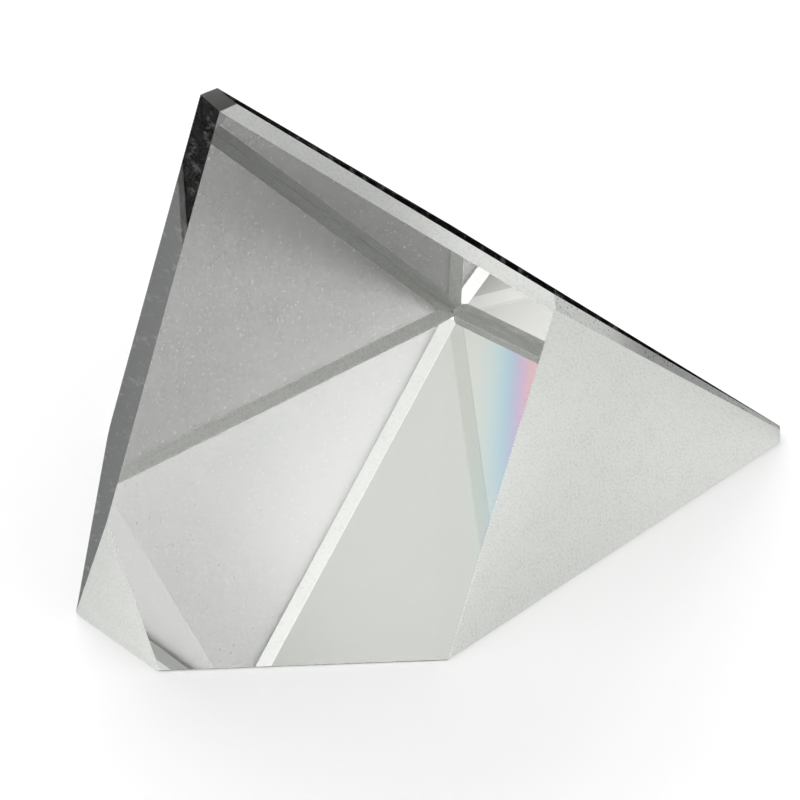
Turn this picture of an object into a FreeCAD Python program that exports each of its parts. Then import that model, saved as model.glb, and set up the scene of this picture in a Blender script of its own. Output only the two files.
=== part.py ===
import FreeCAD, Part
import math
import os

# A roof prism of the Schmidt kind, one piece of optical glass: a wedge between two clear faces,
# with its third side worked into a roof. It lies on one clear face, with the acute edge at the
# back and the roof's ridge leaning away from the front. Millimetres, +Z up.

# Driving dimensions of the optical form
wedge_angle = 48.0          # between the two clear faces, at the acute edge
roof_angle = 90.0           # between the two roof faces, at the ridge
clear_length = 30.2         # along each clear face, from the sharp acute edge to the sharp ridge end
glass_width = 20.0          # between the two ground sides

# Driving dimensions of what is ground away
end_cut = 2.75              # length the end cut takes off the resting face, at the ridge's low end
acute_cut = 0.33            # length the upright flat on the acute edge takes off the resting face

# Driving dimensions of the bevels: a leg is measured along either of the two faces that meet
raised_roof_leg = 0.6       # raised clear face to the roof faces
raised_left_leg = 0.4       # raised clear face to the left side
raised_right_leg = 0.5      # raised clear face to the right side, at the roof end
right_leg_taper = 0.2       # share of that leg which is left at the acute edge
resting_left_leg = 0.37     # resting clear face to the left side
resting_right_leg = 0.12    # resting clear face to the right side
resting_roof_leg = 0.12     # resting clear face to the roof faces
flat_right_leg = 0.5        # acute flat to the right side, a corner of the back
flat_left_leg = 0.3         # acute flat to the left side

# Sizes that follow from them
resting_length = clear_length - end_cut
wedge = math.radians(wedge_angle)
half_roof = math.radians(roof_angle / 2)
stock_reach = 2 * (clear_length + glass_width)


def in_section(angle):
    """Unit vector in the plane of symmetry, the given angle in radians above -Y."""
    return FreeCAD.Vector(0, -math.cos(angle), math.sin(angle))


up = FreeCAD.Vector(0, 0, 1)
right = FreeCAD.Vector(1, 0, 0)
acute_edge = FreeCAD.Vector(0, 0, 0)
ridge_low = in_section(0) * clear_length

# The ridge is square to the line that halves the wedge, so that line is also the roof's middle
middle = in_section(wedge / 2)


def roof_normal(side):
    """Outward normal of the roof face on the right (side 1) or on the left (side -1)."""
    return middle * math.sin(half_roof) + right * side * math.cos(half_roof)


# Each face as its outward normal and one point in it
faces = {
    "resting": (up * -1, acute_edge),
    "raised": (in_section(wedge + math.pi / 2), acute_edge),
    "roof right": (roof_normal(1), ridge_low),
    "roof left": (roof_normal(-1), ridge_low),
    "side right": (right, right * glass_width / 2),
    "side left": (right * -1, right * -glass_width / 2),
    "end": (in_section(0), in_section(0) * resting_length),
    "flat": (in_section(0) * -1, in_section(0) * acute_cut),
}


def ground(solid, normal, point):
    """Takes away all the glass on the outer side of a plane."""
    wheel = Part.makeCylinder(2 * stock_reach, 2 * stock_reach, point, normal)
    return solid.cut(wheel)


def corner(first, second, third):
    """The point where three named faces meet."""
    (n1, p1), (n2, p2), (n3, p3) = faces[first], faces[second], faces[third]
    total = n2.cross(n3) * n1.dot(p1) + n3.cross(n1) * n2.dot(p2) + n1.cross(n2) * n3.dot(p3)
    return total / n1.dot(n2.cross(n3))


def into(face, other):
    """Unit vector that lies in one face and points away from its edge with the other."""
    own, across = faces[face][0], faces[other][0]
    return (own * own.dot(across) - across).normalize()


def bevelled(solid, face, other, ends, leg, taper=1.0):
    """Grinds a bevel on the edge of two faces; it narrows by the taper towards the second end."""
    start, finish = (corner(face, other, end) for end in ends)
    along_face = into(face, other) * leg
    along_other = into(other, face) * leg
    a = start + along_face
    b = start + along_other
    c = finish + along_face * taper
    normal = (b - a).cross(c - a).normalize()
    if normal.dot(faces[face][0]) < 0:
        normal = normal * -1
    return ground(solid, normal, a)


# The stock, ground to each face in turn
stock_corner = FreeCAD.Vector(-stock_reach, -stock_reach, -stock_reach)
prism = Part.makeBox(2 * stock_reach, 2 * stock_reach, 2 * stock_reach, stock_corner)
for normal, point in faces.values():
    prism = ground(prism, normal, point)

# The bevels where the two clear faces meet the roof
for roof, side in (("roof right", "side right"), ("roof left", "side left")):
    prism = bevelled(prism, "raised", roof, (side, "resting"), raised_roof_leg)
    prism = bevelled(prism, "resting", roof, (side, "end"), resting_roof_leg)

# The bevels where they meet the sides
prism = bevelled(prism, "raised", "side left", ("roof left", "flat"), raised_left_leg)
prism = bevelled(prism, "raised", "side right", ("roof right", "flat"), raised_right_leg, right_leg_taper)
prism = bevelled(prism, "resting", "side left", ("roof left", "flat"), resting_left_leg)
prism = bevelled(prism, "resting", "side right", ("roof right", "flat"), resting_right_leg)

# The two corners at the ends of the acute flat
prism = bevelled(prism, "flat", "side right", ("raised", "resting"), flat_right_leg)
prism = bevelled(prism, "flat", "side left", ("raised", "resting"), flat_left_leg)

# The origin: on the resting face, under the middle of the prism's length and width
box = prism.BoundBox
prism.translate(FreeCAD.Vector(-box.Center.x, -box.Center.y, -box.ZMin))

os.makedirs("parts", exist_ok=True)
prism.exportStep("parts/roof_prism.step")
print("faces", len(prism.Faces), "volume", round(prism.Volume, 1), "valid", prism.isValid())
print("box", round(box.XLength, 3), round(box.YLength, 3), round(box.ZLength, 3), "moved", -box.Center.y)
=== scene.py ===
# %% [markdown]
# A roof prism is one block of optical glass, and nearly everything it shows is something else:
# its own ground sides seen through the clear faces, once directly and once more in each mirror
# that the inside of a face makes. So the solid comes from the CAD part unchanged, and this lesson
# is about two finishes, polished and ground, and about the room that the glass needs around it.
# %% Load the frame
import math
import bpy
from mathutils import Matrix, Vector


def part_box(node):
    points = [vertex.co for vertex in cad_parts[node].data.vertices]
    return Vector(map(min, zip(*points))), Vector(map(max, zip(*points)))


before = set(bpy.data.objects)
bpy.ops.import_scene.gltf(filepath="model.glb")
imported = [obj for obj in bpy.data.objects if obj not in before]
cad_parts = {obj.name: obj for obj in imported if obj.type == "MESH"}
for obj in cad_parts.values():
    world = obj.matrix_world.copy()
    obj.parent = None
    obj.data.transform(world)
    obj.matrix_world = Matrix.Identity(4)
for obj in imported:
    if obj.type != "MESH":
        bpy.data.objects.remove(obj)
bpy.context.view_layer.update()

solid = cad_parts["roof_prism"]
low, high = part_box("roof_prism")
scene = bpy.context.scene
print("prism size in mm", [round(1000 * (h - l), 2) for l, h in zip(low, high)])

# %% [markdown]
# Shader maths reads best as plain sums. A `Socket` wraps one output of a node tree, and each
# operator adds the node that does it. A `Finish` is one material, with one method that makes any
# node from its type, its settings and what goes into its inputs.
# %% A socket that does sums
class Socket:
    def __init__(self, tree, link):
        self.tree, self.link = tree, link

    def maths(self, operation, *others):
        node = self.tree.nodes.new("ShaderNodeMath")
        node.operation = operation
        for slot, value in zip(node.inputs, (self,) + others):
            if isinstance(value, Socket):
                self.tree.links.new(value.link, slot)
            else:
                slot.default_value = value
        return Socket(self.tree, node.outputs[0])

    def __add__(self, other): return self.maths("ADD", other)
    def __radd__(self, other): return self.maths("ADD", other)
    def __sub__(self, other): return self.maths("SUBTRACT", other)
    def __rsub__(self, other): return (self * -1) + other
    def __mul__(self, other): return self.maths("MULTIPLY", other)
    def __rmul__(self, other): return self.maths("MULTIPLY", other)
    def __abs__(self): return self.maths("ABSOLUTE")
    def __lt__(self, other): return self.maths("LESS_THAN", other)
    def __gt__(self, other): return self.maths("GREATER_THAN", other)


print("sums on a socket: + - * abs < >")


# %% One method for every node
class Finish:
    def __init__(self, name, owner=None, end="OutputMaterial"):
        self.owner = owner or bpy.data.materials.new(name)
        self.owner.use_nodes = True
        self.tree = self.owner.node_tree
        self.tree.nodes.clear()
        self.end = self.tree.nodes.new("ShaderNode" + end)

    def node(self, kind, settings=None, output=0, **values):
        """Input names have _ for a space; _0 is the first input and so on."""
        made = self.tree.nodes.new("ShaderNode" + kind)
        for key, value in (settings or {}).items():
            setattr(made, key, value)
        for key, value in values.items():
            slot = made.inputs[int(key[1:])] if key[0] == "_" else made.inputs[key.replace("_", " ")]
            if isinstance(value, Socket):
                self.tree.links.new(value.link, slot)
            else:
                slot.default_value = value
        return Socket(self.tree, made.outputs[output])

    def place(self, output="Object"):
        return self.node("TexCoord", output=output)

    def smooth(self, value, start, end, most):
        """0 below the start, most above the end, and a soft step between them."""
        step = {"interpolation_type": "SMOOTHSTEP"}
        return self.node("MapRange", step, _0=value, _1=start, _2=end, _3=0.0, _4=most)

    def mixed(self, factor, a, b):
        return self.node("MixShader", _0=factor, _1=a, _2=b)

    def ramp(self, factor, stops):
        made = self.tree.nodes.new("ShaderNodeValToRGB")
        points = made.color_ramp.elements
        while len(points) < len(stops):
            points.new(0.5)
        for point, (position, colour) in zip(points, stops):
            point.position, point.color = position, (*colour, 1)
        self.tree.links.new(factor.link, made.inputs[0])
        return Socket(self.tree, made.outputs[0])

    def done(self, shader):
        self.tree.links.new(shader.link, self.end.inputs["Surface"])
        return self.owner


glass = Finish("optical_glass")
place = glass.place()
print("material of the prism:", glass.owner.name)

# %% [markdown]
# Four faces are polished: the one it lies on, the raised one and the two of the roof. The sides
# and the end cut are finely ground. The bevels, the flat on the acute edge and its corners are
# ground last, by hand and coarser. Where a point lies tells its finish: it belongs to a face when
# it lies in that face's plane. That needs no painting, and holds at any size of mesh.
# %% Where each finish is
WEDGE = math.radians(48)
DIAGONAL = math.sqrt(0.5)
FRONT, RISE = math.cos(WEDGE / 2) * DIAGONAL, math.sin(WEDGE / 2) * DIAGONAL
FILM = 0.000003

resting = Vector((0, 0, -1))
raised = Vector((0, math.sin(WEDGE), math.cos(WEDGE)))
roof_right = Vector((DIAGONAL, -FRONT, RISE))
roof_left = Vector((-DIAGONAL, -FRONT, RISE))
left, right = Vector((-1, 0, 0)), Vector((1, 0, 0))
front, back = Vector((0, -1, 0)), Vector((0, 1, 0))


def plane_mask(finish, place, normals):
    """1 in the planes with these normals that touch the solid, 0 elsewhere."""
    total = None
    for normal in normals:
        direction = normal.normalized()
        reach = max(direction.dot(v.co) for v in solid.data.vertices)
        along = finish.node("VectorMath", {"operation": "DOT_PRODUCT"}, 1, _0=place, _1=direction)
        inside = abs(along - reach) < FILM
        total = inside if total is None else total.maths("MAXIMUM", inside)
    return total


polished_mask = plane_mask(glass, place, (resting, raised, roof_right, roof_left))
print("polished planes", 4, "within", 1000000 * FILM, "micrometres")

# %% [markdown]
# Grinding leaves pits of a few hundredths of a millimetre, and the real surface glitters a little
# where a pit's wall happens to face the light. Fine noise in Object coordinates makes the grain and
# wider noise the cloudy patches left by the lap. That glitter is painted: some of the Voronoi cells
# get white matt spots, painted glints. All of it is slight, and the polished faces have none of it.
# %% Grain and painted glints
GRAIN, GRAIN_SCALE = 0.38, 9000
MOTTLE, MOTTLE_SCALE = 0.08, 1100
SKIN_LEVEL = 0.96
PIT_STRENGTH, PIT_DEPTH = 0.4, 0.00001
# Painted glints: white matt spots that stand in for light caught by the pits.
PAINTED_GLINT, PAINTED_GLINT_SCALE = 0.11, 3600
PAINTED_GLINT_REACH, PAINTED_GLINT_EDGE, PAINTED_GLINT_LEAST = 0.32, 0.26, 0.4


def noise(scale, detail, roughness=0.5):
    return glass.node("TexNoise", Vector=place, Scale=scale, Detail=detail, Roughness=roughness)


def cells(output):
    return glass.node("TexVoronoi", {"feature": "F1"}, output, Vector=place, Scale=PAINTED_GLINT_SCALE)


grain = noise(GRAIN_SCALE, 3, 0.6)
mottle = noise(MOTTLE_SCALE, 3)
skin = ((grain - 0.5) * (2 * GRAIN) + (mottle - 0.5) * (2 * MOTTLE) + SKIN_LEVEL).maths("MINIMUM", 1.0)
pits = glass.node("Bump", Height=grain, Strength=PIT_STRENGTH, Distance=PIT_DEPTH)
# Painted glints: the chosen Voronoi cells get soft white spots in place of light caught by pits.
painted_glint_cells = glass.node("SeparateColor", _0=cells(1)) > PAINTED_GLINT_LEAST
painted_glints = glass.smooth(PAINTED_GLINT_REACH - cells(0), 0.0, PAINTED_GLINT_EDGE, PAINTED_GLINT) * painted_glint_cells
print("grain", GRAIN, "mottle", MOTTLE, "painted_glints", PAINTED_GLINT)

# %% [markdown]
# The polished glass is a clear dielectric with the index of borosilicate crown. A ground face is
# the same glass with a rough border, so it lets light through and scatters it, plus a diffuse part
# for the white powder look. The three big ground faces come from different laps, and the flat and
# the bevels on the left are the coarsest, so each has its own roughness and clearness. The other
# bevels are finer. Seen through the glass, the side behind looks grey and the mirrored one white.
# %% Polished and ground glass
GLASS_INDEX = 1.517
POLISH_COLOUR = (0.985, 0.99, 0.975, 1)
GROUND_RED, GROUND_BLUE = 0.98, 0.96
UNEVEN = 0.5


def ground(roughness, clearness):
    """A ground surface; where the grain stands up it is a little rougher."""
    colour = glass.node("CombineColor", Red=skin * GROUND_RED, Green=skin, Blue=skin * GROUND_BLUE)
    return glass.node(
        "BsdfPrincipled", Base_Color=colour, Roughness=(grain - 0.5) * UNEVEN + roughness,
        IOR=GLASS_INDEX, Transmission_Weight=clearness, Normal=pits
    )


polish = glass.node(
    "BsdfPrincipled", Base_Color=POLISH_COLOUR, Roughness=0.0, IOR=GLASS_INDEX, Transmission_Weight=1.0
)
# The painted glints are this white matt shader, standing in for light caught by the pits.
painted_glint_white = glass.node("BsdfDiffuse", Color=(1, 1, 1, 1))
surface = ground(0.35, 1.0)
for what, normal, roughness, clearness in (
    ("side on the left", left, 0.36, 1.0),
    ("side on the right", right, 0.8, 0.45),
    ("end cut", front, 0.75, 0.6),
    ("flat on the acute edge", back, 0.55, 0.1),
    ("bevel, raised face to left side", raised + left, 0.55, 0.38),
    ("bevel, resting face to left side", resting + left, 0.55, 0.2),
    ("bevel, raised face to roof", raised + roof_right, 0.5, 0.7),
):
    surface = glass.mixed(plane_mask(glass, place, [normal]), surface, ground(roughness, clearness))
    print(what, "roughness", roughness, "clearness", clearness)
# Mix the painted glints, white matt spots, into the ground faces.
surface = glass.mixed(painted_glints, surface, painted_glint_white)
surface = glass.mixed(polished_mask, surface, polish)
solid.data.materials.clear()
solid.data.materials.append(glass.done(surface))
print("glass index", GLASS_INDEX, "nodes", len(glass.tree.nodes))

# %% [markdown]
# Clear glass shows only the room, so the room is part of the picture. The world is plain white for
# whatever the eye sees directly, in a reflection or through the glass, and a little less as light
# on matt faces.
# %% Room
ROOM = 1.0
ROOM_DIFFUSE = 0.94
world = Finish("studio", bpy.data.worlds.new("studio"), "OutputWorld")
scene.world = world.owner


def shown(finish):
    """1 for the camera's rays and for those off gloss and through glass."""
    kinds = ("Is Camera Ray", "Is Glossy Ray", "Is Transmission Ray")
    rays = [finish.node("LightPath", output=kind) for kind in kinds]
    return rays[0].maths("MAXIMUM", rays[1].maths("MAXIMUM", rays[2]))


soft = world.node("Background", Color=(1, 1, 1, 1), Strength=ROOM_DIFFUSE)
white = world.node("Background", Color=(1, 1, 1, 1), Strength=ROOM)
world.done(world.mixed(shown(world), soft, white))
print("room", ROOM, "as light on matt faces", ROOM_DIFFUSE)

# %% [markdown]
# Sheets stand in the room as a photographer's cards do. Most of them are hidden from the camera and
# cast no shadow: the glass alone finds them. Their places are given as seen from the prism, by
# azimuth from +X and height above the table, both in degrees.
# %% Sheets
def sheet(name, corners, material, hidden=False):
    """A flat sheet of the stage; a hidden one is seen through the glass only."""
    mesh = bpy.data.meshes.new(name)
    mesh.from_pydata(corners, [], [tuple(range(len(corners)))])
    made = bpy.data.objects.new(name, mesh)
    scene.collection.objects.link(made)
    mesh.materials.append(material)
    if hidden:
        made.visible_camera = made.visible_diffuse = made.visible_shadow = False
    print("sheet", name, "with", len(corners), "corners")
    return made


def level_square(half, z):
    return [(-half, -half, z), (half, -half, z), (half, half, z), (-half, half, z)]


def toward(azimuth, elevation, distance):
    a, e = math.radians(azimuth), math.radians(elevation)
    return Vector((math.cos(e) * math.cos(a), math.cos(e) * math.sin(a), math.sin(e))) * distance


# %% [markdown]
# The floor is white paper. Paper under a soft light is a little darker than white, and a faint glow
# of its own, which only the eye gets, lifts it to the background's white. The shadow stays.
# %% Floor
FLOOR = 0.8
FLOOR_GLOW = 0.2
FLOOR_HALF, FLOOR_DROP = 6, -0.00003
paper = Finish("floor_paper")
matt = paper.node("BsdfDiffuse", Color=(FLOOR, FLOOR, FLOOR, 1))
dark = paper.node("Emission", Color=(0, 0, 0, 1), Strength=0.0)
glow = paper.node("Emission", Color=(1, 1, 1, 1), Strength=FLOOR_GLOW)
lifted = paper.node("AddShader", _0=matt, _1=paper.mixed(shown(paper), dark, glow))
sheet("floor", level_square(FLOOR_HALF, FLOOR_DROP), paper.done(lifted))

# %% [markdown]
# The thin dark strips along the top and the left of the prism are a dark table, mirrored inside or
# seen through two faces. A black card under the glass, which the camera does not see, brings them
# on a white floor, with a little pale lint on it.
# %% Dark table
CARD = 0.002
LINT, LINT_SCALE = 0.08, 1500
CARD_HALF, CARD_DROP = 1.5, -0.00001
felt = Finish("black_felt")
specks = felt.node("TexNoise", Vector=felt.place(), Scale=LINT_SCALE, Detail=5, Roughness=0.75)
lint = felt.smooth(specks, 0.52, 0.68, 1.0)
black = felt.node("BsdfDiffuse", Color=(CARD, CARD, CARD, 1))
pale = felt.node("BsdfDiffuse", Color=(LINT, LINT, LINT, 1))
sheet("dark_table", level_square(CARD_HALF, CARD_DROP), felt.done(felt.mixed(lint, black, pale)), True)

# %% [markdown]
# Through the near roof face the eye looks down, is mirrored up and leaves behind the prism, low
# above the table. There stands a light grey wall with a trace of green. A brighter card on its left
# lights the small four-sided patch by the inner corner, and a grey card high on the right the long
# strip on the left of the prism.
# %% Grey wall and two cards
WALL = 0.72
WALL_TINT = (0.985, 1.0, 0.955)
WINDOW = 1.4
SHADE = 0.72


def card(name, material, colour, strength, left, right, bottom, top, distance):
    """An evenly bright card between two azimuths and two heights."""
    finish = Finish(material)
    bright = finish.done(finish.node("Emission", Color=(*colour, 1), Strength=strength))
    corners = [(left, bottom), (right, bottom), (right, top), (left, top)]
    return sheet(name, [toward(a, e, distance) for a, e in corners], bright, True)


card("wall", "grey_wall", WALL_TINT, WALL, left=205, right=110, bottom=0, top=27, distance=5.5)
card("bright_card", "bright_card", (1, 1, 0.97), WINDOW, left=215, right=178, bottom=8, top=27, distance=2.5)
card("grey_card", "grey_card", (0.98, 1, 1), SHADE, left=112, right=48, bottom=24, top=52, distance=2.5)

# %% [markdown]
# The pale rainbow by the right-hand side is the wall's light spread by the wedge. Rendered glass
# has one index for all colours, so the spread is put on a card instead: a narrow strip before the
# wall with a dip in red, then green, then blue. It fades at its upper end, which the glass shows at
# the bottom. Each colour has its azimuth, and the strip leans with the prism's own slant.
# %% Spectrum
STRIP_LEFT, STRIP_RIGHT = 167.75, 165.75
STRIP_LOW, STRIP_HIGH, STRIP_MIDDLE = 8.5, 14.5, 10.8
STRIP_LEAN = -0.1
STRIP_DISTANCE = 3.0
spread = [
    (167.20, (0.98, 1.00, 0.98)), (166.94, (0.88, 1.00, 1.01)), (166.75, (0.76, 0.97, 1.05)),
    (166.55, (0.60, 0.87, 1.09)), (166.44, (0.64, 0.76, 1.03)), (166.34, (0.78, 0.68, 1.01)),
    (166.23, (0.95, 0.64, 0.92)), (166.09, (1.10, 0.67, 0.77)), (165.90, (1.10, 0.76, 0.74)),
]
width = STRIP_LEFT - STRIP_RIGHT


def on_wall(colour):
    return tuple(c * WALL * tint for c, tint in zip(colour, WALL_TINT))


strip = Finish("spectrum_strip")
across = strip.node("SeparateXYZ", _0=strip.place("UV"))
upward = Socket(strip.tree, across.link.node.outputs["Y"])
hues = strip.ramp(across, [((STRIP_LEFT - azimuth) / width, on_wall(colour)) for azimuth, colour in spread])
fade = strip.smooth(upward, 0.55, 0.9, 0.8)
plain = (*on_wall((1, 1, 1)), 1)
shade = strip.node("Mix", {"data_type": "RGBA"}, 2, _0=fade, _6=hues, _7=plain)
lit = strip.node(
    "BsdfPrincipled", Base_Color=(0, 0, 0, 1), Roughness=1.0, Specular_IOR_Level=0.0, Emission_Color=shade,
    Emission_Strength=1.0
)
print("spectrum", width, "degrees wide,", len(spread), "colours")


# %% Spectrum strip in its place
def leaning(azimuth, elevation):
    return toward(azimuth + STRIP_LEAN * (elevation - STRIP_MIDDLE), elevation, STRIP_DISTANCE)


corners = [
    leaning(STRIP_LEFT, STRIP_LOW), leaning(STRIP_RIGHT, STRIP_LOW),
    leaning(STRIP_RIGHT, STRIP_HIGH), leaning(STRIP_LEFT, STRIP_HIGH),
]
spectrum = sheet("spectrum", corners, strip.done(lit), True)
layer = spectrum.data.uv_layers.new(name="across")
for loop, point in zip(layer.data, ((0, 0), (1, 0), (1, 1), (0, 1))):
    loop.uv = point

# %% [markdown]
# One large soft box behind and to the left gives the ground side on the right its even tone and
# lets the narrow bevels shine. Its size is what softens the shadow.
# %% Soft box
BOX = 2.0


def soft_box(name, azimuth, elevation, distance, width, height, radiance):
    """A lamp whose surface has the given brightness, where 1 is white."""
    lamp = bpy.data.lights.new(name, "AREA")
    lamp.shape = "RECTANGLE"
    lamp.size, lamp.size_y = width, height
    lamp.energy = radiance * math.pi * width * height
    made = bpy.data.objects.new(name, lamp)
    scene.collection.objects.link(made)
    where = toward(azimuth, elevation, distance)
    made.matrix_world = Matrix.Translation(where) @ where.to_track_quat("Z", "Y").to_matrix().to_4x4()
    print("soft box", round(lamp.energy, 2), "W")


soft_box("soft_box_behind", azimuth=150, elevation=42.5, distance=1.0, width=1.0, height=0.44, radiance=BOX)

# %% [markdown]
# The camera stands in front on the right, about 39 degrees above the table. Its place was found by
# following the lines seen through the glass as well as the outline. Its lens is a long one, so the
# two ends of the prism are drawn at nearly one scale.
# %% Camera
EYE = Vector((0.13688, -0.11947, 0.15132))
TARGET = Vector((0.00223, -0.00031, 0.00569))
ROLL = math.radians(-2.765)
camera = bpy.data.objects.new("camera", bpy.data.cameras.new("camera"))
scene.collection.objects.link(camera)
scene.camera = camera
turn = (TARGET - EYE).to_track_quat("-Z", "Y").to_matrix() @ Matrix.Rotation(ROLL, 3, "Z")
camera.matrix_world = Matrix.Translation(EYE) @ turn.to_4x4()
camera.data.lens = 265.88
camera.data.sensor_width = 36
camera.data.clip_start = 0.01
scene.view_settings.view_transform = "Standard"
print("camera", round((TARGET - EYE).length, 4), "m away, lens", round(camera.data.lens, 1), "mm")
